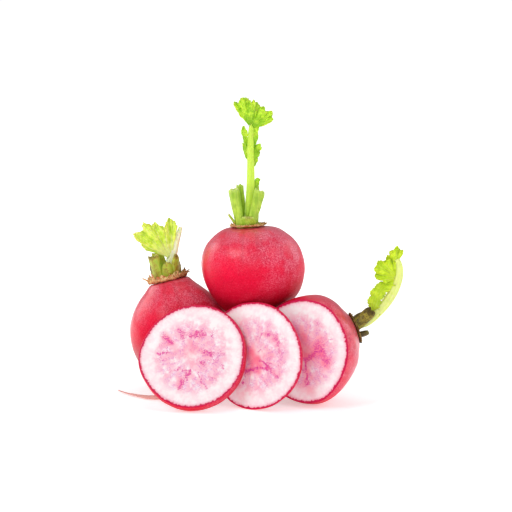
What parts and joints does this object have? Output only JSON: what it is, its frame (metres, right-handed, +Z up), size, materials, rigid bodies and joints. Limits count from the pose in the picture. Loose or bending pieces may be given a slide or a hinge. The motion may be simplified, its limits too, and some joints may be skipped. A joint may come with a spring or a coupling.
{
  "type": "radish bunch",
  "caption": "Loose bunch of round red radishes with cut leaf stalks and young leaves, and slices leaning in front.",
  "frame": {"origin": "middle of the base that the bunch stands on, on the ground", "axes": "+Z up, +Y away from the viewer of the picture, +X to the viewer's right"},
  "size_m": [0.1026, 0.0556, 0.1069],
  "materials": {
    "radish": "smooth waxy red skin over white flesh",
    "radish_slice": "wet white and pink flesh with a thin red skin round the edge",
    "leaf_stalk": "ribbed green stalk, cut off",
    "young_leaf": "soft yellow-green leaf",
    "dry_collar": "dry brown scar tissue"
  },
  "bodies": {
    "root": {"top_radish_root": "radish", "top_radish_collar": "dry_collar", "top_radish_cut_stalks": "leaf_stalk", "top_radish_leaf": "young_leaf", "left_radish_root": "radish", "left_radish_collar": "dry_collar", "left_radish_cut_stalks": "leaf_stalk", "left_radish_leaf": "young_leaf", "cut_radish_root": "radish", "cut_radish_collar": "dry_collar", "cut_radish_cut_stalks": "leaf_stalk", "cut_radish_leaf": "young_leaf", "front_slice": "radish_slice", "middle_slice": "radish_slice"}
  },
  "joints": []
}
